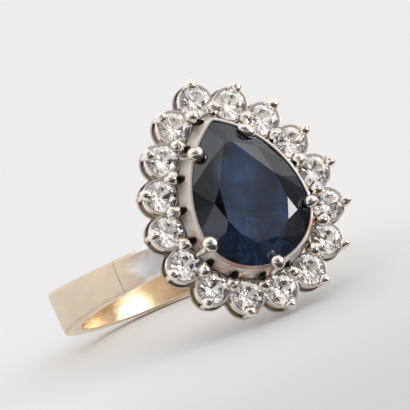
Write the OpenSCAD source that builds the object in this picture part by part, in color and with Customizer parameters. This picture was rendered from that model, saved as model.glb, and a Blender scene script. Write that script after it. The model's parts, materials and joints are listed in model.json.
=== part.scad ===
// A cluster ring: a pear-cut sapphire in a raised claw collet, a halo of round brilliants on a
// scalloped gallery, and a flat band. The head is drawn with the halo's girdles at height 0 and
// the sapphire's tip along +Y, and the finished ring is then laid on its side, as it rests.

/* [Band] */
// Diameter of the finger hole
bore_d = 17; // [16:0.1:18]
// Thickness of the band
band_t = 1.25; // [1:0.05:1.5]
// Width of the band under the head
band_w_head = 2; // [1.6:0.1:2.6]
// Width of the band opposite the head
band_w_back = 3.7; // [2.8:0.1:4]
// Height of the halo's girdles over the middle of the finger hole
head_rise = 14.1; // [14:0.1:15]
// How far the band sits off the sapphire's middle, towards its round end
band_off = 1.2; // [0.8:0.1:1.6]

/* [Sapphire] */
// Length of the sapphire
pear_l = 10; // [9.6:0.1:10.4]
// Width of the sapphire
pear_w = 7.7; // [7.4:0.1:8]
// Distance of its widest place from its round end
pear_belly = 3.5; // [3.4:0.05:3.7]
// Height of its girdle over the halo's girdles
pear_rise = 1.25; // [1.1:0.05:1.5]
// Height of its crown over the girdle
pear_crown = 0.92; // [0.8:0.02:1.1]
// Depth of its pavilion under the girdle
pear_pavilion = 3; // [2.6:0.1:3.2]

/* [Halo] */
// Distance of the brilliants' middles from the sapphire's edge
halo_off = 1.7; // [1.65:0.05:1.75]
// Diameter of a brilliant
brilliant_d = 2.1; // [2:0.05:2.15]

/* [Metal] */
// Thickness of the rim round a brilliant
rim_t = 0.19; // [0.17:0.01:0.22]
// Radius of the grain that holds a brilliant from outside
grain_r = 0.38; // [0.34:0.01:0.4]
// Radius of the tip of a claw that holds the sapphire
claw_r = 0.52; // [0.45:0.01:0.55]
// Gap that is left between a stone and its seat, and under the head
gap = 0.03; // [0.02:0.01:0.04]

/* [Hidden] */
$fn = 48;
over = 1;                // how far a cutter runs past what it cuts
bore_r = bore_d / 2;
band_r = bore_r + band_t;

// Stones. A row of a cut is one main facet, anticlockwise: the side that it faces, and the
// distance from the girdle in to its corner of the table
pear_tip_r = 0.35;
pear_turn_r = 3.35;
pear_girdle = 0.16;
pear_culet = -1.2;
pear_chords = 2;         // girdle chords from one main facet to the next
pear_cut = [[0, 1.67], [17, 1.5], [50, 1.37], [90, 1.72], [130, 1.37], [157, 1.62], [179, 1.67],
            [215, 1.75], [250, 1.4], [281, 1.35], [310, 1.62]];
halo_count = 16;
brilliant_r = brilliant_d / 2;
brilliant_girdle = 0.06;
brilliant_crown = 0.3;
brilliant_pavilion = 0.9;
brilliant_chords = 4;
brilliant_cut = [for (side = [0:45:315]) [side, 0.46]];
star_rise = 0.8;         // share of the crown's height at which star facets end
lower_drop = 0.75;       // share of the pavilion's depth at which its girdle facets end

// Halo gallery: an upper and a lower scalloped rim, joined by posts
rim_r = brilliant_r + rim_t;
rim_top = 0.1;
rim_low = -0.34;
rail_top = -0.88;
rail_low = -1.15;
rail_hole_r = 1;
seat_r = brilliant_r + gap;
seat_z = -0.18;
throat_r = 0.92;
link_r = 0.42;           // fills the notch between two rims
link_top = 0.06;
post_r = 0.3;
post_off = 1.12;         // from the middle of a brilliant out to its grain
grain_z = 0.44;
inner_r = 0.42;          // grains shared by two brilliants, on the sapphire's side
inner_post_r = 0.28;
inner_off = 0.62;
pierced_r = 0.2;         // pierced holes beside the collet
pierced_off = 1.15;
cup_z = [0.06, 0.42];    // clearance over a brilliant's crown: a cone between two heights
cup_top_r = 0.66;

// Sapphire's collet, as offsets from the sapphire's edge and heights
collet_top = pear_rise + 0.11;
collet_lip = 0.16;
collet_foot = 0.62;
collet_wall = 0.42;
ledge = pear_rise - pear_girdle / 2 - gap;
bearing = [-0.15, pear_rise - 0.26];
claw_stem_r = 0.4;
claw_foot = [0.5, -0.3];
claw_tip = [0.06, pear_rise + 0.66];
claw_sides = [40, 140, 194, 270, 346];

// Basket under the halo
base_w = 4.6;
base_l = 6.6;
base_belly = 2.1;
base_tip_r = 1.1;
base_turn_r = 1.9;
base_t = 0.8;
base_top = -3.7;
base_low = -5;
base_off = -0.9;
bar_r = 0.3;
bar_off = 0.33;          // from the sapphire's edge out to the top of a bar
bar_top = -0.9;
bar_low = -3.95;
bar_every = 2;           // a bar under every second brilliant
wall_step = 12;          // turn between two sections of a swept wall, in degrees
wall_reach = 1;          // longest step between two sections of a swept wall

// Outline of a pear of six arcs, anticlockwise from its right belly, with the middle of its
// length at the origin. A row is centre x, centre y, radius, first angle, sweep
function pear(w, l, belly, tip_r, turn_r) =
  let (y0 = belly - l / 2,
       tip = l / 2 - tip_r,
       rise = tip - y0,
       flank_r = (rise * rise + w * w / 4 - tip_r * tip_r) / (w - 2 * tip_r),
       flank = asin(rise / (flank_r - tip_r)),
       side = w / 2 - turn_r,
       end_r = (turn_r * turn_r - side * side - belly * belly) / (2 * (turn_r - belly)),
       turn = atan2(end_r - belly, side))
  [[w / 2 - flank_r, y0, flank_r, 0, flank],
   [0, tip, tip_r, flank, 180 - 2 * flank],
   [flank_r - w / 2, y0, flank_r, 180 - flank, flank],
   [-side, y0, turn_r, 180, turn],
   [0, end_r - l / 2, end_r, 180 + turn, 180 - 2 * turn],
   [side, y0, turn_r, 360 - turn, turn]];

function grown(line, d) = [for (arc = line) [arc[0], arc[1], arc[2] + d, arc[3], arc[4]]];
function arc_run(arc) = arc[2] * arc[4] * PI / 180;
function run(line, i = 0) = i == len(line) ? 0 : arc_run(line[i]) + run(line, i + 1);

// A place on an outline is x, y and the side that it faces
function on_arc(arc, side) = [arc[0] + arc[2] * cos(side), arc[1] + arc[2] * sin(side), side];
function walk(line, s, i = 0) =
  s <= arc_run(line[i]) || i == len(line) - 1
    ? on_arc(line[i], line[i][3] + s / line[i][2] * 180 / PI)
    : walk(line, s - arc_run(line[i]), i + 1);
function along(line, s) = let (all = run(line)) walk(line, s - all * floor(s / all));
function facing(line, side, i = 0) =
  side <= line[i][3] + line[i][4] || i == len(line) - 1
    ? on_arc(line[i], side) : facing(line, side, i + 1);
// Distance along an outline to the place that faces a side
function run_to(line, side, i = 0) =
  side <= line[i][3] + line[i][4] || i == len(line) - 1
    ? line[i][2] * (side - line[i][3]) * PI / 180
    : arc_run(line[i]) + run_to(line, side, i + 1);
function out(p, d) = [p[0] + d * cos(p[2]), p[1] + d * sin(p[2]), p[2]];
function at(p, z) = [p[0], p[1], z];

sapphire_line = pear(pear_w, pear_l, pear_belly, pear_tip_r, pear_turn_r);
brilliant_line = [[0, 0, brilliant_r, 0, 360]];
base_line = pear(base_w, base_l, base_belly, base_tip_r, base_turn_r);
halo_line = grown(sapphire_line, halo_off);
halo_step = run(halo_line) / halo_count;
halo_start = run_to(halo_line, 90);

// Middle of brilliant k, counted clockwise from the tip, moved outward by d
function halo(k, d = 0) = out(along(halo_line, halo_start - (k - 1) * halo_step), d);

// How the ring lies: on the lowest post of its gallery and on the back edge of its band. A
// place is y, z in the upright ring
heel = [-band_off - band_w_back / 2, -head_rise - band_r];
toe = [halo(1 + halo_count / 2, post_off)[1] - post_r, rail_low];
stand = 90 - atan((heel[0] - toe[0]) / (toe[1] - heel[1]));
function laid_y(p) = p[0] * cos(stand) - p[1] * sin(stand);
function laid_z(p) = p[0] * sin(stand) + p[1] * cos(stand);
front_y = min([for (side = claw_sides)
  laid_y([out(facing(sapphire_line, side), claw_tip[0])[1], claw_tip[1]])]) - claw_r;
back_y = laid_y([-band_off + band_w_back / 2, heel[1]]);

function diamond_name(k) = str("diamond_", k < 10 ? "0" : "", k);

module lying()
  translate([0, -(front_y + back_y) / 2, -laid_z(toe)]) rotate([stand, 0, 0]) children();

module disc(p, r, z, z2) translate(at(p, z)) cylinder(r = r, h = z2 - z);

module grain(p, r, z) translate(at(p, z)) sphere(r = r);

// A round rod from one point to another
module rod(p, q, r) {
  way = q - p;
  translate(p) rotate([0, acos(way[2] / norm(way)), atan2(way[1], way[0])])
    cylinder(r = r, h = norm(way));
}

// A wall carried along an outline. Its section is a list of offsets and heights, anticlockwise
// when seen along the way it is carried
module swept_wall(line, section) {
  places = [for (arc = line)
    let (steps = max(ceil(arc[4] / wall_step), ceil(arc_run(arc) / wall_reach)))
    for (i = [0:steps - 1]) on_arc(arc, arc[3] + arc[4] * i / steps)];
  m = len(section);
  n = len(places);
  points = [for (p = places) for (s = section) at(out(p, s[0]), s[1])];
  faces = [for (i = [0:n - 1]) for (j = [0:m - 1])
    let (i2 = (i + 1) % n, j2 = (j + 1) % m)
    for (f = [[i * m + j, i * m + j2, i2 * m + j2], [i * m + j, i2 * m + j2, i2 * m + j]]) f];
  polyhedron(points, faces);
}

// Place where two facets meet at one height: each is the side it faces and its reach that way
function meet(a, b) =
  [a[1] * sin(b[0]) - b[1] * sin(a[0]), b[1] * cos(a[0]) - a[1] * cos(b[0])] / sin(b[0] - a[0]);
function reach(p, side) = p[0] * cos(side) + p[1] * sin(side);

// A brilliant cut with its girdle at height 0. Main facets run from the girdle to the table and
// to the culet, stars lie round the table, and girdle facets fan out from where mains meet
module cut_stone(line, cut, chords, girdle, crown, pavilion, culet_y = 0) {
  mains = len(cut);
  rim = mains * chords;
  top = girdle / 2 + crown;
  whole = run(line);
  starts = [for (row = cut) run_to(line, row[0])];
  function next_start(i) = i + 1 < mains ? starts[i + 1] : starts[0] + whole;
  girdle_places = [for (i = [0:mains - 1]) for (j = [0:chords - 1])
    along(line, starts[i] + (next_start(i) - starts[i]) * j / chords)];
  function girdle_reach(i) = reach(girdle_places[i * chords], cut[i][0]);
  function crown_facet(i) = [cut[i][0], girdle_reach(i) - star_rise * cut[i][1]];
  function lower_facet(i) =
    [cut[i][0], girdle_reach(i) * (1 - lower_drop) + lower_drop * reach([0, culet_y], cut[i][0])];
  table = [for (i = [0:mains - 1]) at(out(girdle_places[i * chords], -cut[i][1]), top)];
  stars = [for (i = [0:mains - 1])
    at(meet(crown_facet(i), crown_facet((i + 1) % mains)), girdle / 2 + star_rise * crown)];
  upper = [for (p = girdle_places) at(p, girdle / 2)];
  lower = [for (p = girdle_places) at(p, -girdle / 2)];
  lowest = [for (i = [0:mains - 1])
    at(meet(lower_facet(i), lower_facet((i + 1) % mains)), -girdle / 2 - lower_drop * pavilion)];
  points = concat(table, stars, upper, lower, lowest, [[0, culet_y, -girdle / 2 - pavilion]]);
  star = mains;
  up = 2 * mains;
  low = up + rim;
  deep = low + rim;
  culet = deep + mains;
  faces = concat(
    [[for (i = [0:mains - 1]) mains - 1 - i]],
    [for (i = [0:mains - 1]) [i, (i + 1) % mains, star + i]],
    [for (i = [0:mains - 1]) [i, star + i, up + i * chords, star + (i + mains - 1) % mains]],
    [for (i = [0:mains - 1]) for (j = [0:chords - 1])
      [star + i, up + (i * chords + j + 1) % rim, up + i * chords + j]],
    [for (i = [0:rim - 1]) [up + i, up + (i + 1) % rim, low + (i + 1) % rim, low + i]],
    [for (i = [0:mains - 1]) for (j = [0:chords - 1])
      [deep + i, low + i * chords + j, low + (i * chords + j + 1) % rim]],
    [for (i = [0:mains - 1]) [culet, deep + (i + mains - 1) % mains, low + i * chords, deep + i]]);
  polyhedron(points, faces);
}

module sapphire_shape(grow)
  translate([0, 0, pear_rise])
    cut_stone(grown(sapphire_line, grow), pear_cut, pear_chords, pear_girdle + 2 * grow,
              pear_crown, pear_pavilion, pear_culet);

// Rims, posts and grains that hold the brilliants
module halo_metal() {
  for (k = [1:halo_count]) {
    disc(halo(k), rim_r, rim_low, rim_top);
    disc(halo(k), rim_r, rail_low, rail_top);
    disc(halo(k, post_off), post_r, rail_low, grain_z);
    grain(halo(k, post_off), grain_r, grain_z);
    disc(halo(k + 0.5), link_r, rim_low, link_top);
    disc(halo(k + 0.5, -inner_off), inner_post_r, rim_low, grain_z);
    grain(halo(k + 0.5, -inner_off), inner_r, grain_z);
  }
}

// Room for a brilliant, its pavilion and the light behind it
module brilliant_room(p) {
  disc(p, throat_r, rim_low - over, rim_top);
  disc(p, rail_hole_r, rail_low - over, rail_top + over / 10);
  disc(p, seat_r, seat_z, cup_z[0]);
  translate(at(p, cup_z[0])) cylinder(r1 = seat_r, r2 = cup_top_r, h = cup_z[1] - cup_z[0]);
}

module collet()
  swept_wall(sapphire_line, [
    [collet_lip, collet_top], [gap, collet_top], [gap, ledge], bearing,
    [collet_foot - collet_wall, bearing[1] - over], [collet_foot - collet_wall, rail_low],
    [collet_foot, rail_low], [collet_foot, 0]]);

module claws()
  for (side = claw_sides) {
    p = facing(sapphire_line, side);
    tip = at(out(p, claw_tip[0]), claw_tip[1]);
    rod(at(out(p, claw_foot[0]), claw_foot[1]), tip, claw_stem_r);
    grain(out(p, claw_tip[0]), claw_r, claw_tip[1]);
  }

module basket() {
  translate([0, base_off, 0])
    swept_wall(base_line, [[0, base_top], [-base_t, base_top], [-base_t, base_low], [0, base_low]]);
  for (k = [1:bar_every:halo_count]) {
    p = halo(k, bar_off - halo_off);
    foot = out(facing(base_line, p[2]), -base_t / 2);
    rod(at(p, bar_top), [foot[0], foot[1] + base_off, bar_low], bar_r);
  }
}

module band_cylinder(r, l)
  translate([0, -band_off + l / 2, -head_rise]) rotate([90, 0, 0]) cylinder(r = r, h = l);

module setting() color("gainsboro") lying()
  difference() {
    union() {
      halo_metal();
      difference() {
        union() { collet(); claws(); }
        sapphire_shape(gap);
      }
      basket();
    }
    for (k = [1:halo_count]) {
      brilliant_room(halo(k));
      disc(halo(k + 0.5, -pierced_off), pierced_r, rail_low - over, rim_top + over);
    }
    band_cylinder(band_r + gap, pear_l);
  }

// The band's sides lean in towards the head, so its width follows a straight line
module shank() color("goldenrod") lying()
  intersection() {
    difference() {
      band_cylinder(band_r, pear_l);
      band_cylinder(bore_r, pear_l + over);
    }
    translate([-band_r - over, -band_off, -head_rise]) rotate([90, 0, 90])
      linear_extrude(2 * (band_r + over))
        polygon([[-band_w_head / 2, band_r], [-band_w_back / 2, -band_r],
                 [band_w_back / 2, -band_r], [band_w_head / 2, band_r]]);
  }

module sapphire() color("midnightblue") lying() sapphire_shape(0);

module diamond(k) color("white") lying()
  translate(at(halo(k), 0)) rotate([0, 0, halo(k)[2]])
    cut_stone(brilliant_line, brilliant_cut, brilliant_chords, brilliant_girdle, brilliant_crown,
              brilliant_pavilion);

shank();
setting();
sapphire();
for (k = [1:halo_count])
  diamond(k);
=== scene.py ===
import json
import math

import bmesh
import bpy
import numpy as np
from mathutils import Matrix, Vector


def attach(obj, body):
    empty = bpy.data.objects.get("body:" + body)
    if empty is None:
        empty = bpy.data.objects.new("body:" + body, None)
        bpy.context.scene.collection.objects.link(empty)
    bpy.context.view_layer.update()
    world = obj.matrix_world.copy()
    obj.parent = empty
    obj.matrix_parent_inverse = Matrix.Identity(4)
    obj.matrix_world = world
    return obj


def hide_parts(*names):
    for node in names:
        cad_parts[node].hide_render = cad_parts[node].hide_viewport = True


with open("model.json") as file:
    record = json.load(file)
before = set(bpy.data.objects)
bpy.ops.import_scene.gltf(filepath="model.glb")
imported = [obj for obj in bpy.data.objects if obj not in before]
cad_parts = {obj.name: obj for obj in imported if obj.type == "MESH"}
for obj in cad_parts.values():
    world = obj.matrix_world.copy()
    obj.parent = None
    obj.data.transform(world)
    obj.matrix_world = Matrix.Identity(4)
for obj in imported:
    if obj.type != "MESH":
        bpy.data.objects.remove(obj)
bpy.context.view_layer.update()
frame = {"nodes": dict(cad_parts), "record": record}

# Everything below is drawn in mm in the head's own frame and laid down with the ring at the end:
# x across the finger, y along it to the pear's tip, z out of the stones, 0 at the halo's girdles
mm = 0.001
head = dict(
    rise=14.1,            # halo girdles over the middle of the finger hole
    bandBack=1.2,         # band behind the sapphire's middle
)
hole = frame["record"]["mounts"][0]
alongFinger = np.array(hole["axis"])
acrossFinger = np.array([1.0, 0.0, 0.0])
outOfStones = np.cross(acrossFinger, alongFinger)
headAxes = np.array([acrossFinger, alongFinger, outOfStones])
headOrigin = np.array(hole["pos_m"]) / mm + head["rise"] * outOfStones + head["bandBack"] * alongFinger
rng = np.random.default_rng(7)


def laid(points):
    # from mm in the head's frame to metres where the ring lies
    return (headOrigin + np.asarray(points) @ headAxes) * mm


class Wire:
    # the output of a shader node; sums and products on it add Math nodes
    def __init__(self, finish, socket):
        self.finish, self.socket = finish, socket

    def maths(self, operation, first, second):
        return self.finish.node("ShaderNodeMath", dict(operation=operation), [first, second])

    def __add__(self, other):
        return self.maths("ADD", self, other)

    def __radd__(self, other):
        return self.maths("ADD", other, self)

    def __sub__(self, other):
        return self.maths("SUBTRACT", self, other)

    def __rsub__(self, other):
        return self.maths("SUBTRACT", other, self)

    def __mul__(self, other):
        return self.maths("MULTIPLY", self, other)

    def __rmul__(self, other):
        return self.maths("MULTIPLY", other, self)

    def __abs__(self):
        return self.maths("ABSOLUTE", self, 0.0)


class Finish:
    # a material or a world, with its shader's fixed values set straight on the sockets
    def __init__(self, name, shader="ShaderNodeBsdfPrincipled", world=False, **fixed):
        if world:
            self.data = bpy.data.worlds.new(name)
        else:
            self.data = bpy.data.materials.new(name)
        self.data.use_nodes = True
        self.tree = self.data.node_tree
        self.tree.nodes.clear()
        kind = "World" if world else "Material"
        self.out = self.tree.nodes.new("ShaderNodeOutput" + kind)
        self.shader = self.tree.nodes.new(shader)
        self.tree.links.new(self.shader.outputs[0], self.out.inputs["Surface"])
        for socket, value in fixed.items():
            self.put(self.shader.inputs[socket.replace("_", " ")], value)

    def put(self, socket, value):
        if isinstance(value, Wire):
            self.tree.links.new(value.socket, socket)
        elif isinstance(value, (tuple, list)) and len(value) == 3 and socket.type == "RGBA":
            socket.default_value = (*value, 1.0)
        else:
            socket.default_value = value

    def set(self, **wires):
        for socket, value in wires.items():
            self.put(self.shader.inputs[socket.replace("_", " ")], value)

    def node(self, kind, settings=None, inputs=None, output=0):
        # the settings are set first, then the values or links of the sockets, by place or by name
        made = self.tree.nodes.new(kind)
        for key, value in (settings or {}).items():
            setattr(made, key, value)
        pairs = (inputs or {}).items() if isinstance(inputs, dict) else enumerate(inputs or [])
        for socket, value in pairs:
            self.put(made.inputs[socket], value)
        return Wire(self, made.outputs[output])

    def place(self):
        return self.node("ShaderNodeTexCoord", output="Object")

    def attribute(self, name, output="Fac"):
        return self.node("ShaderNodeAttribute", dict(attribute_name=name), output=output)

    def noise(self, vector, scale, detail=3.0, rough=0.55):
        sockets = dict(Vector=vector, Scale=scale, Detail=detail, Roughness=rough)
        return self.node("ShaderNodeTexNoise", inputs=sockets)

    def stretched(self, vector, scale):
        return self.node("ShaderNodeMapping", inputs=dict(Vector=vector, Scale=scale))

    def vector(self, operation, first, second, output="Vector"):
        return self.node("ShaderNodeVectorMath", dict(operation=operation), [first, second], output)

    def mix(self, factor, first, second):
        return self.node("ShaderNodeMix", dict(data_type="RGBA"), {0: factor, 6: first, 7: second}, output=2)

    def bump(self, height, strength, distance):
        sockets = dict(Height=height, Strength=strength, Distance=distance)
        return self.node("ShaderNodeBump", inputs=sockets, output="Normal")


def eased(value, low, high):
    # 0 at low, 1 at high and a smooth step between
    settings = dict(interpolation_type="SMOOTHSTEP")
    return value.finish.node("ShaderNodeMapRange", settings, [value, low, high, 0.0, 1.0])


weld = dict(doubles=1e-7, slivers=1e-8)    # in metres, how close points are to become one


def piece(name, grids, finish, stands, marks=None):
    # A grid is (points, roundRows, roundColumns): points is an array of copies by rows by columns
    # by x, y, z, and each four neighbours make one face. Rows that shrink to a point are merged.
    # Marks are named numbers or vectors for every point, which the finishes read
    verts, quads, count = [], [], 0
    for points, roundRows, roundColumns in grids:
        points = points.reshape(-1, *points.shape[-3:])
        copies, rows, columns, _ = points.shape
        rowCount, columnCount = rows - (not roundRows), columns - (not roundColumns)
        row, column = np.meshgrid(np.arange(rowCount), np.arange(columnCount), indexing="ij")
        nextRow, nextColumn = (row + 1) % rows, (column + 1) % columns
        quad = np.stack([row * columns + column, row * columns + nextColumn,
                         nextRow * columns + nextColumn, nextRow * columns + column], -1).reshape(-1, 4)
        start = count + np.arange(copies)[:, None, None] * rows * columns
        quads.append((start + quad).reshape(-1, 4))
        verts.append(points.reshape(-1, 3))
        count += copies * rows * columns
    headPoints = np.vstack(verts)
    mesh = bpy.data.meshes.new(name)
    mesh.from_pydata(laid(headPoints), [], np.vstack(quads).tolist())
    for key, values in dict(height=headPoints[:, 2], **(marks or {})).items():
        isVector = values.ndim > 1 and values.shape[-1] == 3
        layer = mesh.attributes.new(key, "FLOAT_VECTOR" if isVector else "FLOAT", "POINT")
        layer.data.foreach_set("vector" if isVector else "value", values.astype(np.float32).ravel())
    work = bmesh.new()
    work.from_mesh(mesh)
    bmesh.ops.remove_doubles(work, verts=work.verts, dist=weld["doubles"])
    bmesh.ops.dissolve_degenerate(work, edges=work.edges, dist=weld["slivers"])
    bmesh.ops.recalc_face_normals(work, faces=work.faces)
    work.to_mesh(mesh)
    work.free()
    mesh.shade_smooth()
    made = bpy.data.objects.new(name, mesh)
    bpy.context.collection.objects.link(made)
    mesh.materials.append(finish.data)
    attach(made, "root")
    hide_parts(stands)
    print("made", name, len(mesh.polygons), "faces")


# Lines of the head

def pearArcs(width, length, belly, tipRadius, turnRadius):
    # Six tangent arcs, anticlockwise from the right belly: flank, tip, flank, turn, end, turn.
    # A row is centre x, centre y, radius, first angle, sweep, in mm and radians
    low = belly - length / 2
    tip = length / 2 - tipRadius
    rise = tip - low
    flankRadius = (rise ** 2 + width ** 2 / 4 - tipRadius ** 2) / (width - 2 * tipRadius)
    flank = math.asin(rise / (flankRadius - tipRadius))
    side = width / 2 - turnRadius
    endRadius = (turnRadius ** 2 - side ** 2 - belly ** 2) / (2 * (turnRadius - belly))
    turn = math.atan2(endRadius - belly, side)
    return np.array([
        [width / 2 - flankRadius, low, flankRadius, 0, flank],
        [0, tip, tipRadius, flank, math.pi - 2 * flank],
        [flankRadius - width / 2, low, flankRadius, math.pi - flank, flank],
        [-side, low, turnRadius, math.pi, turn],
        [0, endRadius - length / 2, endRadius, math.pi + turn, math.pi - 2 * turn],
        [side, low, turnRadius, 2 * math.pi - turn, turn]])


def onLine(arcs, run, out=0.0):
    # Points and outward directions at distances along an outline whose arcs are all moved out
    radius = arcs[:, 2] + out
    lengths = radius * arcs[:, 4]
    ends = np.cumsum(lengths)
    run = np.mod(run, ends[-1])
    arc = np.searchsorted(ends, run, side="right").clip(0, len(arcs) - 1)
    angle = arcs[arc, 3] + (run - (ends - lengths)[arc]) / radius[arc]
    way = np.stack([np.cos(angle), np.sin(angle)], -1)
    return arcs[arc, :2] + radius[arc, None] * way, way


def lineRun(arcs, angle, out=0.0):
    # Distance along a moved outline to the place that faces an angle
    radius = arcs[:, 2] + out
    arc = int(np.argmax(angle <= arcs[:, 3] + arcs[:, 4] + 1e-9))
    return float((radius * arcs[:, 4])[:arc].sum() + radius[arc] * (angle - arcs[arc, 3]))


def evenRuns(arcs, turnStep, longest):
    # Distances that step round an outline finely where it turns fast
    runs, start = [], 0.0
    for arc in arcs:
        length = arc[2] * arc[4]
        steps = int(max(math.ceil(arc[4] / turnStep), math.ceil(length / longest)))
        runs.append(start + length * np.arange(steps) / steps)
        start += length
    return np.concatenate(runs)


sapphireStone = dict(width=7.7, length=10.0, belly=3.5, tipRadius=0.35, turnRadius=3.35)
stoneRise = dict(girdle=1.25, half=0.08)    # the sapphire's girdle over the halo's, and half its thickness
halo = dict(
    count=16, out=1.7, stoneRadius=1.05,
    liftOver=-0.02, pushOver=-0.2)    # metal this high is lifted off a crown, or pushed off a girdle
pear = pearArcs(**sapphireStone)
haloLength = float(((pear[:, 2] + halo["out"]) * pear[:, 4]).sum())
haloStart = lineRun(pear, math.pi / 2, halo["out"])


def haloPlaces(numbers, out=0.0):
    # Places over stones counted clockwise from the tip, whole or between two, moved outward
    runs = haloStart - (np.asarray(numbers) - 1) * haloLength / halo["count"]
    points, way = onLine(pear, runs, halo["out"])
    return points + out * way, way


stoneNumbers = np.arange(1, halo["count"] + 1)
stoneCentres, stoneWays = haloPlaces(stoneNumbers)


def closedProfile(corners, bend, steps=4, lead=0.35):
    # Rounds each corner of a closed outline by a quadratic curve from bend before the corner to bend
    # after it, with one more point on each side, a lead's share of bend away, to hold the flats
    corners = np.asarray(corners, float)
    before = np.roll(corners, 1, 0) - corners
    after = np.roll(corners, -1, 0) - corners
    bend = np.broadcast_to(np.asarray(bend, float), (len(corners),))[:, None]
    start = corners + before / np.linalg.norm(before, axis=1, keepdims=True) * bend
    end = corners + after / np.linalg.norm(after, axis=1, keepdims=True) * bend
    t = np.linspace(0, 1, steps + 1)[:, None, None]
    curve = (1 - t) ** 2 * start + 2 * t * (1 - t) * corners + t ** 2 * end
    hold = lead * bend
    first = start + before / np.linalg.norm(before, axis=1, keepdims=True) * hold
    last = end + after / np.linalg.norm(after, axis=1, keepdims=True) * hold
    return np.concatenate([first[None], curve, last[None]]).transpose(1, 0, 2).reshape(-1, 2)


def turned(profile, centres, steps):
    # Surfaces of revolution: the profile's radius and height turned round each centre
    angle = np.linspace(0, 2 * math.pi, steps, endpoint=False)
    r, z = profile[:, 0], profile[:, 1]
    ringX = r[:, None] * np.cos(angle)
    ringY = r[:, None] * np.sin(angle)
    ring = np.stack([ringX, ringY, np.broadcast_to(z[:, None], ringX.shape)], -1)
    centres = np.column_stack([centres, np.zeros(len(centres))])
    return centres[:, None, None, :] + ring


def carried(profile, points, ways):
    # A profile of offsets and heights carried along a closed line: point + offset * way, height
    flat = points[None] + profile[:, 0, None, None] * ways[None]
    z = np.broadcast_to(profile[:, 1, None, None], (*flat.shape[:2], 1))
    return np.concatenate([flat, z], -1)[None]


def upperFacets(nodeName, slope=0.2):
    # The planes of a cut stone's upper facets in the head's frame: a point and a normal each, of
    # those that look up more than slope, the cosine of the angle from straight up
    mesh = frame["nodes"][nodeName].data
    centres, normals = np.empty(3 * len(mesh.polygons)), np.empty(3 * len(mesh.polygons))
    mesh.polygons.foreach_get("center", centres)
    mesh.polygons.foreach_get("normal", normals)
    centres = (centres.reshape(-1, 3) / mm - headOrigin) @ headAxes.T
    normals = normals.reshape(-1, 3) @ headAxes.T
    up = normals[:, 2] > slope
    return centres[up], normals[up]


def crownOver(facets, points):
    # Height of a convex crown over places: the lowest of its facets' planes there
    centres, normals = facets
    slope = normals[:, :2] / normals[:, 2:]
    level = centres[:, 2] + (centres[:, :2] * slope).sum(1)
    return (level - points[..., :2] @ slope.T).min(-1)


stoneFacets = [upperFacets("diamond_%02d" % k) for k in stoneNumbers]
sapphireFacets = upperFacets("sapphire")


def besideStones(points, clearance):
    # Keeps metal out of the brilliants: points over a stone are lifted onto its crown, and those
    # level with its girdle or just under it are pushed out past its edge
    flat = points[..., None, :2] - stoneCentres
    away = np.linalg.norm(flat, axis=-1)
    nearest = away.argmin(-1)
    distance = away.min(-1)
    way = np.take_along_axis(flat, nearest[..., None, None], -2)[..., 0, :]
    way = way / np.maximum(distance, 1e-6)[..., None]
    reach = halo["stoneRadius"] + clearance
    over = distance < reach
    z = points[..., 2]
    moved = points.copy()
    for stone, facets in enumerate(stoneFacets):
        lifted = over & (nearest == stone) & (z > halo["liftOver"])
        moved[lifted, 2] = np.maximum(z[lifted], crownOver(facets, points[lifted]) + clearance)
    pushed = over & (z <= halo["liftOver"]) & (z > halo["pushOver"])
    moved[..., :2] += np.where(pushed, reach - distance, 0.0)[..., None] * way
    return moved


# Finishes: a noise's scale is a count to the metre on Object coordinates, and to the mm on a piece's
# own flow, which runs along the piece and then across it

castLook = dict(
    warm=(0.88, 0.80, 0.73), pale=(0.95, 0.885, 0.83), patches=420.0, patchEdges=(0.40, 0.62),
    # Painted shade: a brown for the metal low in the head, between the stones, fading out up to the next
    # height
    deep=(0.42, 0.34, 0.27), castShadeUnder=-0.9, openOver=-0.15,       # heights in the head
    clouds=900.0, grit=4200.0, gloss=0.08, cloudy=0.18, dents=0.8, dentDepth=0.00003)


def castGold():
    # Bright white gold in warmer and paler patches, and painted shade: brown deep between the stones
    look, finish = castLook, Finish("white gold", Metallic=1.0)
    coords = finish.place()
    clouds = finish.noise(coords, look["clouds"])
    grit = finish.noise(coords, look["grit"], 2.0)
    patches = finish.noise(coords, look["patches"], 2.0)
    unshaded = eased(finish.attribute("height"), look["castShadeUnder"], look["openOver"])
    cream = finish.mix(eased(patches, *look["patchEdges"]), look["warm"], look["pale"])
    finish.set(
        Base_Color=finish.mix(unshaded, look["deep"], cream),
        Roughness=look["gloss"] + look["cloudy"] * clouds,
        Normal=finish.bump(0.7 * clouds + 0.3 * grit, look["dents"], look["dentDepth"]))
    return finish


satinLook = dict(
    brushed=((0.98, 0.93, 0.88), (0.90, 0.82, 0.76)), streakGrain=(11.0, 0.9, 1.0), streakEdges=(0.3, 0.7),
    solder=(0.72, 0.47, 0.38), solderGrain=(0.45, 0.8, 1.0), solderEdges=(0.46, 0.62),
    # Painted shade: a brown at the wall's foot, and a black, which isn't metal, in its pits and seams
    shade=(0.42, 0.34, 0.28), shadeShare=0.6, shadeUnder=-0.9, openOver=0.3,
    blackShade=(0.006, 0.005, 0.004), gloss=0.32, streaky=0.2, mattInShade=0.45, dents=0.4, dentDepth=0.00004)


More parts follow.
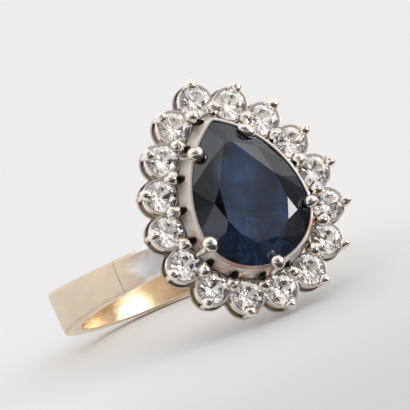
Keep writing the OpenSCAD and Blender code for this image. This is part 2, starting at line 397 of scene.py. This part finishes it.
def brushedGold():
    # The collet's outside is brushed from its foot to its edge, with warmer patches of solder, painted
    # shade at its foot and black painted shade, which isn't metal, in its pits and seams
    look, finish = satinLook, Finish("white gold wall")
    flow = finish.attribute("flow", "Vector")
    streaks = finish.noise(finish.stretched(flow, look["streakGrain"]), 1.0, 4.0)
    patches = finish.noise(finish.stretched(flow, look["solderGrain"]), 1.0, 2.0)
    blackShaded = finish.attribute("blackShaded")
    low = 1.0 - eased(finish.attribute("height"), look["shadeUnder"], look["openOver"])
    soldered = eased(patches, *look["solderEdges"]) * finish.attribute("warm")
    brushed = finish.mix(eased(streaks, *look["streakEdges"]), *look["brushed"])
    warmed = finish.mix(soldered, brushed, look["solder"])
    shaded = finish.mix(look["shadeShare"] * low, warmed, look["shade"])
    finish.set(
        Base_Color=finish.mix(blackShaded, shaded, look["blackShade"]),
        Roughness=look["gloss"] + look["streaky"] * streaks + look["mattInShade"] * blackShaded,
        Metallic=1.0 - blackShaded,
        Normal=finish.bump(streaks, look["dents"], look["dentDepth"]))
    return finish


bandLook = dict(
    inside=(0.95, 0.77, 0.54), champagne=((0.80, 0.66, 0.49), (0.74, 0.62, 0.49)),
    blotchGrain=(0.5, 0.9, 1.0), blotchEdges=(0.35, 0.65),
    plate=(0.97, 0.935, 0.94), plateStart=0.74, plateEnd=0.60, plateWander=0.5,      # radians from the head
    seam=(0.25, 0.19, 0.14), seamAt=0.838, seamHalf=0.006, seamCore=0.3, seamShare=0.4,
    waveGrain=(0.0, 0.6, 1.0), seamWave=0.03,
    nick=(0.45, 0.40, 0.36), nickGrain=(2.2, 5.0, 1.0), nickEdges=(0.60, 0.70), nickShare=0.35,
    scratchGrain=(0.35, 16.0, 1.0), clouds=260.0,
    gloss=0.08, cloudy=0.10, scratched=0.10, dullOutside=0.18, dents=0.35, dentDepth=0.00005)


def wornGold():
    # Yellow inside; outside champagne, plated white near the head and worn back round the finger,
    # with nicks in the plate, fine scratches all round and the thin line of a seam
    look, finish = bandLook, Finish("band gold", Metallic=1.0)
    flow = finish.attribute("flow", "Vector")
    outside = finish.attribute("outside")
    turn = finish.attribute("turn")
    clouds = finish.noise(finish.place(), look["clouds"])
    blotches = finish.noise(finish.stretched(flow, look["blotchGrain"]), 1.0)
    wave = finish.noise(finish.stretched(flow, look["waveGrain"]), 1.0, 2.0) - 0.5
    scratches = finish.noise(finish.stretched(flow, look["scratchGrain"]), 1.0, 5.0, 0.7)
    chips = finish.noise(finish.stretched(flow, look["nickGrain"]), 1.0, 4.0, 0.8)
    ragged = turn + look["plateWander"] * (blotches - 0.5)
    plated = eased(ragged, look["plateStart"], look["plateEnd"]) * outside
    fromSeam = abs(turn + look["seamWave"] * wave - look["seamAt"])
    seam = (1.0 - eased(fromSeam, look["seamCore"] * look["seamHalf"], look["seamHalf"])) * outside
    nicked = eased(chips, *look["nickEdges"]) * plated * look["nickShare"]
    champagne = finish.mix(eased(blotches, *look["blotchEdges"]), *look["champagne"])
    gold = finish.mix(outside, look["inside"], finish.mix(plated, champagne, look["plate"]))
    marked = finish.mix(nicked, gold, look["nick"])
    finish.set(
        Base_Color=finish.mix(seam * look["seamShare"], marked, look["seam"]),
        Roughness=(look["gloss"] + look["cloudy"] * clouds + look["scratched"] * scratches
                   + look["dullOutside"] * outside),
        Normal=finish.bump(scratches * 0.5 + clouds * 0.5 - seam, look["dents"], look["dentDepth"]))
    return finish


sapphireBlue = dict(Base_Color=(0.0045, 0.008, 0.018), Roughness=0.0, IOR=1.77, Transmission_Weight=1.0)
black = (0.0, 0.0, 0.0)

# Painted light: the sapphire's lower facets glow a little in clouds, seen from inside it, and not all
# alike: a facet has one of three painted glows. A faint mottled painted glow shows in its table
paintedGlow = dict(
    wide=dict(middle=(0.5, 0.9), half=(1.6, 1.8), fade=(1.2, 0.4)),
    bright=dict(middle=(0.2, 2.1), half=(1.0, 1.4), fade=(1.3, 0.1)),
    glows=((0.12, 0.14, 0.18), (0.18, 0.22, 0.29), (0.08, 0.13, 0.20)), brightGlow=(0.10, 0.52, 0.86),
    clouds=420.0, cloudEdges=(0.36, 0.62),
    tableGlow=((0.001, 0.005, 0.016), (0.005, 0.026, 0.066)), patches=480.0, patchEdges=(0.42, 0.66),
    lowerUnder=-0.2, tableOver=0.99)    # the cosines from straight up that part the facets


def cloudOfGlow(finish, coords, middle, half, fade):
    # 1 inside an ellipse that lies level in the head and 0 outside: the distances from its middle
    # over its half sizes, squared, added and eased
    offset = finish.vector("SUBTRACT", coords, tuple(laid((*middle, 0))))
    shares = [finish.vector("DOT_PRODUCT", offset, tuple(way / (reach * mm)), "Value")
              for way, reach in zip((acrossFinger, alongFinger), half)]
    return eased(shares[0] * shares[0] + shares[1] * shares[1], *fade)


def glowingGlass(name):
    # The sapphire's glass with a painted glow, an emission that lights nothing round it
    finish = Finish(name, Emission_Strength=1.0, **sapphireBlue)
    finish.data.cycles.emission_sampling = "NONE"
    return finish


def paintedGlowGlass(number, glow):
    # One of the painted glows in the wide cloud, and a brighter painted glow in the bright cloud over
    # it. They show only to light that comes from inside the stone, so its back stays dark
    finish = glowingGlass("sapphire silk %d" % number)
    coords = finish.place()
    clouds = eased(finish.noise(coords, paintedGlow["clouds"], 2.0), *paintedGlow["cloudEdges"])
    under = finish.mix(cloudOfGlow(finish, coords, **paintedGlow["wide"]), black, glow)
    inBright = cloudOfGlow(finish, coords, **paintedGlow["bright"])
    glowing = finish.mix(inBright * clouds, under, paintedGlow["brightGlow"])
    inside = finish.node("ShaderNodeNewGeometry", output="Backfacing")
    finish.set(Emission_Color=finish.mix(inside, black, glowing))
    return finish


def glowingTable():
    # The table's glass, with a faint mottled painted glow
    finish = glowingGlass("sapphire table")
    mottle = finish.noise(finish.place(), paintedGlow["patches"], 4.0, 0.5)
    finish.set(Emission_Color=finish.mix(eased(mottle, *paintedGlow["patchEdges"]), *paintedGlow["tableGlow"]))
    return finish


brilliantLook = dict(
    clear=(0.98, 0.935, 0.895), dull=(0.93, 0.885, 0.845), film=900.0, filmEdges=(0.42, 0.62), dullness=0.06)


def wornBrilliant():
    # Clear glass, a little dull in places
    look, finish = brilliantLook, Finish("diamond", IOR=1.9, Transmission_Weight=1.0)
    film = eased(finish.noise(finish.place(), look["film"]), *look["filmEdges"])
    finish.set(Base_Color=finish.mix(film, look["clear"], look["dull"]), Roughness=look["dullness"] * film)
    return finish


whiteGold, satinGold, bandGold = castGold(), brushedGold(), wornGold()
blueStone = Finish("sapphire", **sapphireBlue)
glowStones = [paintedGlowGlass(number, glow) for number, glow in enumerate(paintedGlow["glows"])]
tableGlowStone = glowingTable()
whiteStone = wornBrilliant()
print("finishes made")

# The halo's gallery: a rim that seats each brilliant, a rail under it, and the scalloped wall round
# the outside of each. Radii are from the brilliants' middles

rims = dict(
    radius=1.17, top=0.07, low=-0.34, seat=1.07, seatLow=-0.18, throat=0.92,
    lean=0.03, dip=0.02,                         # the seat's top, out from the seat and under the rim's top
    bends=(0.024, 0.04, 0.024, 0.016, 0.024, 0.024), steps=48)
rails = dict(radius=1.28, top=-0.80, low=-1.15, inner=1.0, bend=0.05)
edge = dict(
    outBy=0.005, wall=0.2, drop=0.01, innerDrop=0.03, upperBend=0.04, lowerBend=0.05,
    steps=48, near=12, smoothing=3.0)            # places to a stone, and the rounding's reach and width
rim = closedProfile([
    (rims["radius"], rims["low"]), (rims["radius"], rims["top"]),
    (rims["seat"] + rims["lean"], rims["top"] - rims["dip"]), (rims["seat"], rims["seatLow"]),
    (rims["throat"], rims["seatLow"]), (rims["throat"], rims["low"])], rims["bends"])
rail = closedProfile([(rails["radius"], rails["low"]), (rails["radius"], rails["top"]),
                      (rails["inner"], rails["top"]), (rails["inner"], rails["low"])], rails["bend"])


def scallops(radius):
    # The outer edge of discs round the brilliants: each disc's arc from the notch before it to the
    # notch after it, where two discs cross, or halfway where they don't. Its corners are rounded by
    # averaging over a short way along the line, with weights that fall off as a bell curve
    others, _ = haloPlaces(stoneNumbers + 1)
    half = (others - stoneCentres) / 2
    width = np.linalg.norm(half, axis=1)
    outward = np.stack([-half[:, 1], half[:, 0]], -1) / width[:, None]
    outward *= np.sign((outward * (stoneWays + np.roll(stoneWays, -1, 0))).sum(1))[:, None]
    rise = np.sqrt(np.maximum(radius ** 2 - width ** 2, 0))
    notch = stoneCentres + half + outward * rise[:, None]
    first = np.roll(notch, 1, 0) - stoneCentres
    last = notch - stoneCentres
    begin = np.arctan2(first[:, 1], first[:, 0])
    sweep = np.mod(begin - np.arctan2(last[:, 1], last[:, 0]), 2 * math.pi)
    angle = begin[:, None] - sweep[:, None] * np.linspace(0, 1, edge["steps"], endpoint=False)
    line = stoneCentres[:, None] + radius * np.stack([np.cos(angle), np.sin(angle)], -1)
    line = line.reshape(-1, 2)
    shifts = np.arange(-edge["near"], edge["near"] + 1)
    weights = np.exp(-0.5 * (shifts / edge["smoothing"]) ** 2)
    weights /= weights.sum()
    line = sum(weight * np.roll(line, shift, 0) for weight, shift in zip(weights, shifts))
    along = np.roll(line, -1, 0) - np.roll(line, 1, 0)
    along /= np.linalg.norm(along, axis=1, keepdims=True)
    return line, np.stack([-along[:, 1], along[:, 0]], -1)


upperEdge = closedProfile([(0, rims["low"]), (0, rims["top"] - edge["drop"]),
                           (-edge["wall"], rims["top"] - edge["innerDrop"]), (-edge["wall"], rims["low"])],
                          edge["upperBend"])
lowerEdge = closedProfile([(0, rails["low"]), (0, rails["top"]), (-edge["wall"], rails["top"]),
                           (-edge["wall"], rails["low"])], edge["lowerBend"])
piece("halo_gallery", [
    (turned(rim, stoneCentres, rims["steps"]), True, True),
    (turned(rail, stoneCentres, rims["steps"]), True, True),
    (carried(upperEdge, *scallops(rims["radius"] + edge["outBy"])), True, True),
    (carried(lowerEdge, *scallops(rails["radius"] + edge["outBy"])), True, True)],
    whiteGold, "setting")

# Posts and grains: one outside each brilliant, and one inside between each two

grains = dict(
    outer=dict(radius=0.41, height=0.50, post=0.26, foot=-1.15), outerOut=1.06,
    shared=dict(radius=0.49, height=0.42, post=0.32, foot=-0.34), sharedIn=0.62,
    neckAngle=-0.75, neckDrop=1.25, footRound=0.06, clear=0.015, steps=32,
    uneven=0.09, fade=0.3, swell=(1, 1, 0.4))


def grain(radius, height, post, foot):
    # Profile of a post with a round grain on top: a ball's outline down to where the neck leaves
    # it, a straight neck, the post and a rounded foot
    down = np.linspace(math.pi / 2, grains["neckAngle"], 15)
    ball = np.stack([radius * np.cos(down), height + radius * np.sin(down)], -1)
    share = np.linspace(0, 1, 6)[1:, None]
    neck = ball[-1] + (np.array([post, height - grains["neckDrop"] * radius]) - ball[-1]) * share
    end = np.linspace(0, math.pi / 2, 5)
    bend = grains["footRound"]
    tail = np.stack([post - bend + bend * np.cos(end), foot + bend - bend * np.sin(end)], -1)
    return np.vstack([ball, neck, tail, [[0, foot]]])


def uneven(grid, centres, height):
    # Each grain its own shape: waves of two and three lobes round it, of sizes and turns that differ
    # from grain to grain, which fade out down its neck
    relative = grid - np.column_stack([centres, np.full(len(centres), height)])[:, None, None]
    angle = np.arctan2(relative[..., 1], relative[..., 0])
    phase = rng.uniform(0, 2 * math.pi, (len(centres), 2, 1, 1))
    size = rng.uniform(0.5, 1.0, (len(centres), 2, 1, 1)) * grains["uneven"]
    waves = size[:, 0] * np.sin(2 * angle + phase[:, 0]) + size[:, 1] * np.sin(3 * angle + phase[:, 1])
    upper = np.clip(relative[..., 2] / grains["fade"] + 1.0, 0, 1)
    return grid + relative * (waves * upper)[..., None] * np.array(grains["swell"])


def grainsAt(numbers, out, shape):
    # Grains over places round the halo: their profile turned round each, made uneven and cut clear
    # of the stones
    centres, _ = haloPlaces(numbers, out)
    grid = uneven(turned(grain(**shape), centres, grains["steps"]), centres, shape["height"])
    return besideStones(grid, grains["clear"]), False, True


piece("halo_grains", [
    grainsAt(stoneNumbers, grains["outerOut"], grains["outer"]),
    grainsAt(stoneNumbers + 0.5, -grains["sharedIn"], grains["shared"])],
    whiteGold, "setting")

# The sapphire's collet: a leaning wall round the stone, with a lip that just laps over its edge.
# Sideways places are out from the sapphire's edge

wall = dict(
    foot=0.62, thick=0.42, low=-1.15, lip=0.15, top=1.36,       # outside
    beside=0.03, ledge=1.14, seatIn=-0.15, seat=1.0,            # inside, down to the stone's seat
    reach=-0.05, over=0.05, under=0.02, lipDrop=0.04,           # the lip, from the wall's top
    lapMiddle=0.035, lapOver=0.035, lapUnder=0.012,             # and how far it lies off the crown
    bends=(0.03, 0.012, 0.012, 0.01, 0.02, 0.03, 0.1, 0.05, 0.05, 0.2),
    rows=30, step=0.05, turnStep=math.radians(3))
pits = dict(radius=0.27, out=0.54, top=0.95, low=-0.35, fade=0.1, skin=0.1, blackFrom=0.06)
# Black painted shade on the collet, in its pits, round the brilliants' rims and on its lip
blackShade = dict(
    near=1.24, far=1.44, height=0.32, fade=0.12, share=0.85,    # round the brilliants' rims
    lipFrom=0.13, lipFade=0.12, lipShare=0.6,                   # on the lip
    way=(0.8, 0.6), steep=2.0, start=0.6, wayShare=0.35)        # and more on the side that faces way
solder = dict(start=0.2, slope=-0.35)                           # more of it towards the blunt end
walls = closedProfile([
    (wall["lip"], wall["top"]), (wall["reach"], wall["top"] + wall["over"]),
    (wall["reach"], wall["top"] + wall["under"]), (wall["beside"], wall["top"] - wall["beside"]),
    (wall["beside"], wall["ledge"]), (wall["seatIn"], wall["seat"]),
    (wall["foot"] - wall["thick"], 0.0), (wall["foot"] - wall["thick"], wall["low"]),
    (wall["foot"], wall["low"]), (wall["foot"], 0.0)], wall["bends"], 2)
walls = np.vstack([walls, np.linspace(walls[-1], walls[0], wall["rows"] + 2)[1:-1]])
colletRuns = evenRuns(pear, wall["turnStep"], wall["step"])
colletPoints, colletWays = onLine(pear, colletRuns)


def pitted(grid):
    # Upright drilled holes beside the shared grains, cut half into the wall's outside: a point in a
    # hole's circle moves straight in to the circle's far side. Also how much black painted shade each
    # point gets, by how far it moved
    middles, _ = haloPlaces(stoneNumbers + 0.5, pits["out"] - halo["out"])
    beside = grid[..., None, :2] - middles
    nearest = np.linalg.norm(beside, axis=-1).argmin(-1)
    beside = np.take_along_axis(beside, nearest[..., None, None], -2)[..., 0, :]
    inward = (beside * colletWays).sum(-1)
    chord = np.sqrt(np.maximum(pits["radius"] ** 2 - (beside ** 2).sum(-1) + inward ** 2, 0))
    skin = [wall["foot"] - pits["skin"], wall["lip"] - pits["skin"]]
    outer = walls[:, 0] > np.interp(walls[:, 1], [0, wall["top"]], skin)
    z = grid[..., 2]
    share = np.clip((pits["top"] - z) / pits["fade"], 0, 1) * np.clip((z - pits["low"]) / pits["fade"], 0, 1)
    step = np.maximum(inward + chord, 0) * (chord > 0) * (inward < pits["radius"]) * share * outer[:, None]
    moved = grid.copy()
    moved[..., :2] -= step[..., None] * colletWays
    return moved, np.clip(step / pits["blackFrom"], 0, 1)


def lapped(grid):
    # The rows of the lip that lie over the stone are raised until they just clear its crown
    over = (walls[:, 0] < wall["beside"]) & (walls[:, 1] > wall["top"] - wall["lipDrop"])
    isTop = walls[over, 1] > wall["top"] + wall["lapMiddle"]
    clear = np.where(isTop, wall["lapOver"], wall["lapUnder"])[:, None]
    lip = grid[0, over]
    raised = grid.copy()
    raised[0, over, :, 2] = np.maximum(lip[..., 2], crownOver(sapphireFacets, lip) + clear)
    return raised


def paintedShadeOn(grid, inPits):
    # How much black painted shade a point gets, the most of three: the pits, a ring round each
    # brilliant's rim that ends under a height, and the lip, where it is darker on one side of the stone
    besideRims = np.linalg.norm(grid[0, ..., None, :2] - stoneCentres, axis=-1).min(-1)
    onRims = np.clip((blackShade["far"] - besideRims) / (blackShade["far"] - blackShade["near"]), 0, 1)
    onRims *= np.clip((blackShade["height"] - grid[0, ..., 2]) / blackShade["fade"], 0, 1)
    isLip = walls[:, 1] > wall["top"] - wall["lipDrop"]
    onLip = (np.clip((blackShade["lipFrom"] - walls[:, 0]) / blackShade["lipFade"], 0, 1) * isLip)[:, None]
    oneSide = np.clip(blackShade["steep"] * colletWays @ np.array(blackShade["way"]) - blackShade["start"], 0, 1)
    onLip = (blackShade["lipShare"] + blackShade["wayShare"] * oneSide) * onLip
    return np.maximum(inPits, np.maximum(blackShade["share"] * onRims, onLip))


colletGrid, inPits = pitted(carried(walls, colletPoints, colletWays))
colletGrid = lapped(colletGrid)
profileRun = np.cumsum(np.linalg.norm(np.diff(walls, axis=0, prepend=walls[:1]), axis=1))
colletFlow = np.stack([*np.meshgrid(colletRuns, profileRun), np.zeros((len(walls), len(colletRuns)))], -1)
warm = np.clip(solder["start"] + solder["slope"] * colletPoints[:, 1], 0, 1) * np.ones((len(walls), 1))
piece("sapphire_collet", [(colletGrid, True, True)], satinGold, "setting",
      dict(flow=colletFlow.reshape(-1, 3), blackShaded=paintedShadeOn(colletGrid, inPits).ravel(), warm=warm.ravel()))

# Claws

claws = dict(
    sides=(43, 140, 194, 268, 346),                # the way each one faces, in degrees
    across=(0.60, 0.53, 0.54, 0.47, 0.42),         # half width along the sapphire's edge
    deep=(0.42, 0.53, 0.54, 0.50, 0.47),           # half width out from the edge
    out=(-0.14, 0.06, 0.04, 0.06, -0.06),          # middle out from the edge
    height=(1.72, 1.82, 1.86, 1.86, 1.74),
    flat=0.86, neckDown=-0.35,                     # the tip's height to its depth, and its lowest angle
    foot=-0.4, footOut=0.42, footRadius=0.22, taper=0.8, uneven=0.06,
    beside=0.03, over=0.02, steps=40)              # kept this far off the stone's edge and crown
clawRuns = np.array([lineRun(pear, math.radians(side)) for side in claws["sides"]])
clawPoints, clawWays = onLine(pear, clawRuns)


def clawGrid(point, way, across, deep, out, height):
    # Level rings: a flattened ball's outline down to its neck, then a stem whose radius and place
    # ease from the neck to the foot inside the wall
    down = np.linspace(math.pi / 2, claws["neckDown"], 16)
    t = np.linspace(0, 1, 14)[1:]
    ease = t * t * (3 - 2 * t)
    neck = math.cos(claws["neckDown"])
    share = np.concatenate([np.cos(down), neck + (claws["footRadius"] / deep - neck) * t ** claws["taper"]])
    top = height + claws["flat"] * deep * np.sin(down)
    z = np.concatenate([top, top[-1] + (claws["foot"] - top[-1]) * t])
    offset = np.concatenate([np.full(len(down), out), out + (claws["footOut"] - out) * ease])
    angle = np.linspace(0, 2 * math.pi, claws["steps"], endpoint=False)
    waves = np.sin(2 * angle + rng.uniform(0, 6)) + 0.7 * np.sin(3 * angle + rng.uniform(0, 6))
    swell = 1 + claws["uneven"] * waves
    side = across * share[:, None] * np.cos(angle) * swell
    outward = offset[:, None] + deep * share[:, None] * np.sin(angle) * swell
    z = np.broadcast_to(z[:, None], outward.shape)
    # kept off the sapphire: outside its edge below the girdle's top, and on the crown above it
    girdleTop = stoneRise["girdle"] + stoneRise["half"]
    outward = np.where(z < girdleTop, np.maximum(outward, claws["beside"]), outward)
    flat = point + outward[..., None] * way + side[..., None] * np.array([-way[1], way[0]])
    crown = crownOver(sapphireFacets, flat) + claws["over"]
    z = np.where((z >= girdleTop) & (outward < claws["beside"]), np.maximum(z, crown), z)
    return np.concatenate([flat, z[..., None]], -1)[None]


clawShapes = zip(clawPoints, clawWays, claws["across"], claws["deep"], claws["out"], claws["height"])
clawGrids = [(clawGrid(*shape), False, True) for shape in clawShapes]
piece("sapphire_claws", clawGrids, whiteGold, "setting")

# The basket under the head: a pear ring on the band, and a bar up to every second brilliant's rim

basket = dict(width=4.6, length=6.6, belly=2.1, tipRadius=1.1, turnRadius=1.9)
baseAt = dict(
    back=-0.9, thick=0.8, top=-3.7, low=-4.55, bend=0.12, turnStep=math.radians(8), step=0.2,
    barRadius=0.3, barOut=0.33, barTop=-0.9, barLow=-3.95, everySecond=2)
base = pearArcs(**basket)
baseRuns = evenRuns(base, baseAt["turnStep"], baseAt["step"])
basePoints, baseWays = onLine(base, baseRuns)
baseShift = np.array([0, baseAt["back"]])
baseProfile = closedProfile([(0, baseAt["low"]), (0, baseAt["top"]), (-baseAt["thick"], baseAt["top"]),
                             (-baseAt["thick"], baseAt["low"])], baseAt["bend"])
barNumbers = stoneNumbers[::baseAt["everySecond"]]
barTops, barWays = haloPlaces(barNumbers, baseAt["barOut"] - halo["out"])
barAngles = np.mod(np.arctan2(barWays[:, 1], barWays[:, 0]), 2 * math.pi)
barFeet, footWays = onLine(base, np.array([lineRun(base, a) for a in barAngles]))
barFeet = barFeet - baseAt["thick"] / 2 * footWays + baseShift


def bar(top, foot):
    # A round bar between two points: rings square to the line that joins them, with rounded ends
    start = np.array([*top, baseAt["barTop"]])
    end = np.array([*foot, baseAt["barLow"]])
    way = (end - start) / np.linalg.norm(end - start)
    side = np.cross(way, [0, 0, 1.0])
    side /= np.linalg.norm(side)
    other = np.cross(way, side)
    t = np.array([0, 0, 0.04, 0.96, 1, 1])
    radius = baseAt["barRadius"] * np.array([0, 0.8, 1, 1, 0.8, 0])
    angle = np.linspace(0, 2 * math.pi, 24, endpoint=False)
    ring = np.cos(angle)[:, None] * side + np.sin(angle)[:, None] * other
    return (start + t[:, None, None] * (end - start) + radius[:, None, None] * ring)[None]


piece("basket", [(carried(baseProfile, basePoints + baseShift, baseWays), True, True)]
      + [(bar(t, f), False, True) for t, f in zip(barTops, barFeet)], whiteGold, "setting")

# The band

band = dict(inner=8.5, thick=1.25, headWidth=2.0, backWidth=3.7, innerEdge=0.12, outerEdge=0.28,
            faceShare=0.6, steps=288)    # a rounded edge counts as outside over this share of its depth
turns = np.linspace(0, 2 * math.pi, band["steps"], endpoint=False)
bandOuter = band["inner"] + band["thick"]


def bandGrid():
    # A rectangle with quarter-round edges carried round the finger hole. Its half width follows the
    # height over the hole, so the band's two sides are flat and lean in towards the head
    height = bandOuter * np.cos(turns)
    half = (band["headWidth"] + (band["backWidth"] - band["headWidth"]) * (bandOuter - height)
            / (2 * bandOuter)) / 2
    t = np.linspace(0, math.pi / 2, 8)
    side = np.repeat([1, -1, -1, 1], len(t))[:, None]
    outward = np.repeat([1, 1, 0, 0], len(t))[:, None]
    radiusOfEdge = np.where(outward, band["outerEdge"], band["innerEdge"])
    inSide = radiusOfEdge * (1 - np.cos(np.concatenate([t, t[::-1], t, t[::-1]])))[:, None]
    inFace = radiusOfEdge * (1 - np.sin(np.concatenate([t, t[::-1], t, t[::-1]])))[:, None]
    radius = np.where(outward, bandOuter - inFace, band["inner"] + inFace)
    y = -head["bandBack"] + side * (half - inSide)
    grid = np.stack([radius * np.sin(turns), y, -head["rise"] + radius * np.cos(turns)], -1)
    onOutside = np.broadcast_to(outward * (inFace < band["faceShare"] * radiusOfEdge), y.shape)
    return grid[None], onOutside


ringGrid, onOutside = bandGrid()
turnAway = np.broadcast_to(np.minimum(turns, 2 * math.pi - turns), ringGrid.shape[1:3])
bandFlow = np.stack([turnAway * bandOuter, ringGrid[0, ..., 1], 0 * turnAway], -1)
piece("band", [(ringGrid, True, True)], bandGold, "shank",
      dict(flow=bandFlow.reshape(-1, 3), outside=onOutside.ravel(), turn=turnAway.ravel()))

# Stones keep their own solids and get their finishes

def dress(node, finishes):
    # Its finishes take the place of the CAD's own
    node.data.materials.clear()
    for finish in finishes:
        node.data.materials.append(finish.data)


def chooseGlows(node):
    # Of the sapphire's finishes, plain glass is 0, the painted glows follow and the table's painted
    # glow is last. Each facet below the girdle gets one glow by chance
    normals = np.empty(3 * len(node.data.polygons))
    node.data.polygons.foreach_get("normal", normals)
    facets, facetOf = np.unique(normals.reshape(-1, 3).round(2), axis=0, return_inverse=True)
    up = facets @ outOfStones
    chosen = rng.integers(1, 1 + len(glowStones), len(facets))
    chosen = np.where(up < paintedGlow["lowerUnder"], chosen, 0)
    chosen = np.where(up > paintedGlow["tableOver"], 1 + len(glowStones), chosen)
    node.data.polygons.foreach_set("material_index", chosen[facetOf.ravel()].astype(np.int32))


for nodeName, node in frame["nodes"].items():
    if nodeName == "sapphire":
        dress(node, [blueStone, *glowStones, tableGlowStone])
        chooseGlows(node)
    elif nodeName.startswith("diamond"):
        dress(node, [whiteStone])
print("stones finished")

# Floor, light and camera

# The floor's colour is darker towards the front: painted shade, for light that falls off there
pale = dict(near=0.66, far=0.84, nearAt=-0.05, farAt=-0.005, roughness=0.6, reach=4.0)    # metres
darkCard = dict(left=-0.03, right=0.3, front=-0.08, back=-0.0135, height=0.0001)
floorFinish = Finish("pale floor", Roughness=pale["roughness"], Specular_IOR_Level=0.0)
backwards = floorFinish.node("ShaderNodeSeparateXYZ", inputs=[floorFinish.place()], output="Y")
floorPaintedFalloff = pale["near"] + (pale["far"] - pale["near"]) * eased(backwards, pale["nearAt"], pale["farAt"])
floorFinish.set(Base_Color=floorPaintedFalloff)


def sheet(name, finish, left, right, front, back, height):
    # A flat rectangle in metres, level with the floor and not part of the ring
    mesh = bpy.data.meshes.new(name)
    corners = [(left, front, height), (right, front, height), (right, back, height), (left, back, height)]
    mesh.from_pydata(corners, [], [(0, 1, 2, 3)])
    mesh.materials.append(finish.data)
    made = bpy.data.objects.new(name, mesh)
    bpy.context.collection.objects.link(made)
    return made


sheet("floor", floorFinish, -pale["reach"], pale["reach"], -pale["reach"], pale["reach"], 0.0)

# A dark card in front of the ring, which only its polished surfaces see
card = sheet("dark_card", Finish("dark card", Base_Color=(0.03, 0.025, 0.02)), **darkCard)
card.visible_camera = card.visible_diffuse = card.visible_shadow = False

# The sky's light: what polished surfaces see is open with shades and cards in it, matt ones get an
# even light, what leaves a stone sees spots, and the camera sees a plain tone
studio = dict(
    open=0.99, matt=1.0, shown=0.85,
    shades=[dict(way=(-0.05, -0.98, 0.0), reach=52, soft=16, keep=0.2),         # the room in front
            dict(way=(-0.30, -0.93, 0.15), reach=18, soft=12, keep=0.12),       # round the lens
            dict(way=(-0.66, -0.60, 0.45), reach=13, soft=8, keep=0.3),         # left
            dict(way=(0.955, -0.27, 0.10), reach=11, soft=7, keep=0.22)],       # right
    cards=[dict(way=(0.35, -0.89, 0.28), reach=15, soft=10, add=0.25),          # in the tables
           dict(way=(0.67, -0.60, 0.43), reach=12, soft=8, add=1.2),            # right, over the softbox
           dict(way=(-0.61, -0.76, 0.24), reach=8, soft=6, add=0.7),            # left
           dict(way=(-0.13, -0.81, 0.58), reach=7, soft=6, add=0.6),            # over the lens
           dict(way=(-0.45, -0.38, 0.80), reach=18, soft=12, add=0.4)],         # over the left
    through=dict(low=0.40, high=1.24, scale=2.6, edges=(0.42, 0.58)))
sky = Finish("studio", shader="ShaderNodeBackground", world=True, Color=(1, 1, 1))
bpy.context.scene.world = sky.data
skyWay = sky.node("ShaderNodeTexCoord", output="Generated")


def patchOfSky(patch):
    # 1 inside a round patch of the sky and 0 outside, with a soft edge: angles in degrees
    middle = tuple(Vector(patch["way"]).normalized())
    cosine = sky.vector("DOT_PRODUCT", skyWay, middle, "Value")
    outer, inner = patch["reach"] + patch["soft"] / 2, patch["reach"] - patch["soft"] / 2
    return eased(cosine, math.cos(math.radians(outer)), math.cos(math.radians(inner)))


skyLight = studio["open"]
for patch in studio["shades"]:
    skyLight = skyLight * (1.0 - (1.0 - patch["keep"]) * patchOfSky(patch))
for patch in studio["cards"]:
    skyLight = skyLight + patch["add"] * patchOfSky(patch)
through = studio["through"]
spots = eased(sky.noise(skyWay, through["scale"], 1.0), *through["edges"])
lightThrough = through["low"] + (through["high"] - through["low"]) * spots
inStone = sky.node("ShaderNodeLightPath", output="Is Transmission Ray")
onMatt = sky.node("ShaderNodeLightPath", output="Is Diffuse Ray")
seen = sky.node("ShaderNodeLightPath", output="Is Camera Ray")
skyLight = skyLight * (1.0 - inStone) + lightThrough * inStone
skyLight = skyLight * (1.0 - onMatt) + studio["matt"] * onMatt
sky.set(Strength=skyLight * (1.0 - seen) + studio["shown"] * seen)

# The target is measured from the middle of the head
lens = dict(length=307.0, target=(-2.49, -0.305, 0.325), distance=224.5, azimuth=-20.07, elevation=7.07,
            roll=-20.29)


def aimCamera():
    # Looks back from the target along the azimuth and elevation, then rolls about the line of sight
    azimuth, elevation = math.radians(lens["azimuth"]), math.radians(lens["elevation"])
    back = Vector((math.sin(azimuth) * math.cos(elevation), -math.cos(azimuth) * math.cos(elevation),
                   math.sin(elevation)))
    roll = Matrix.Rotation(math.radians(lens["roll"]), 4, "Z")
    turn = back.to_track_quat("Z", "Y").to_matrix().to_4x4() @ roll
    camera = bpy.data.objects.new("camera", bpy.data.cameras.new("camera"))
    camera.data.lens = lens["length"]
    camera.data.clip_start, camera.data.clip_end = 0.01, 10.0
    target = Vector(headOrigin) + Vector(lens["target"])
    camera.matrix_world = Matrix.Translation((target + back * lens["distance"]) * mm) @ turn
    bpy.context.collection.objects.link(camera)
    bpy.context.scene.camera = camera


aimCamera()


rightBox = dict(direction=(0.79, -0.61, 0.12), distance=0.30, size=(0.16, 0.08), strength=0.33)


def softbox(name, direction, distance, size, strength):
    # An area light that faces the ring's middle from a direction
    light = bpy.data.objects.new(name, bpy.data.lights.new(name, "AREA"))
    light.data.shape = "RECTANGLE"
    light.data.size, light.data.size_y = size
    light.data.energy = strength
    light.visible_camera = light.visible_diffuse = False
    way = Vector(direction).normalized()
    light.matrix_world = Matrix.Translation(way * distance) @ way.to_track_quat("Z", "Y").to_matrix().to_4x4()
    bpy.context.collection.objects.link(light)


softbox("right_box", **rightBox)
bpy.context.scene.view_settings.view_transform = "Standard"
print("staged")
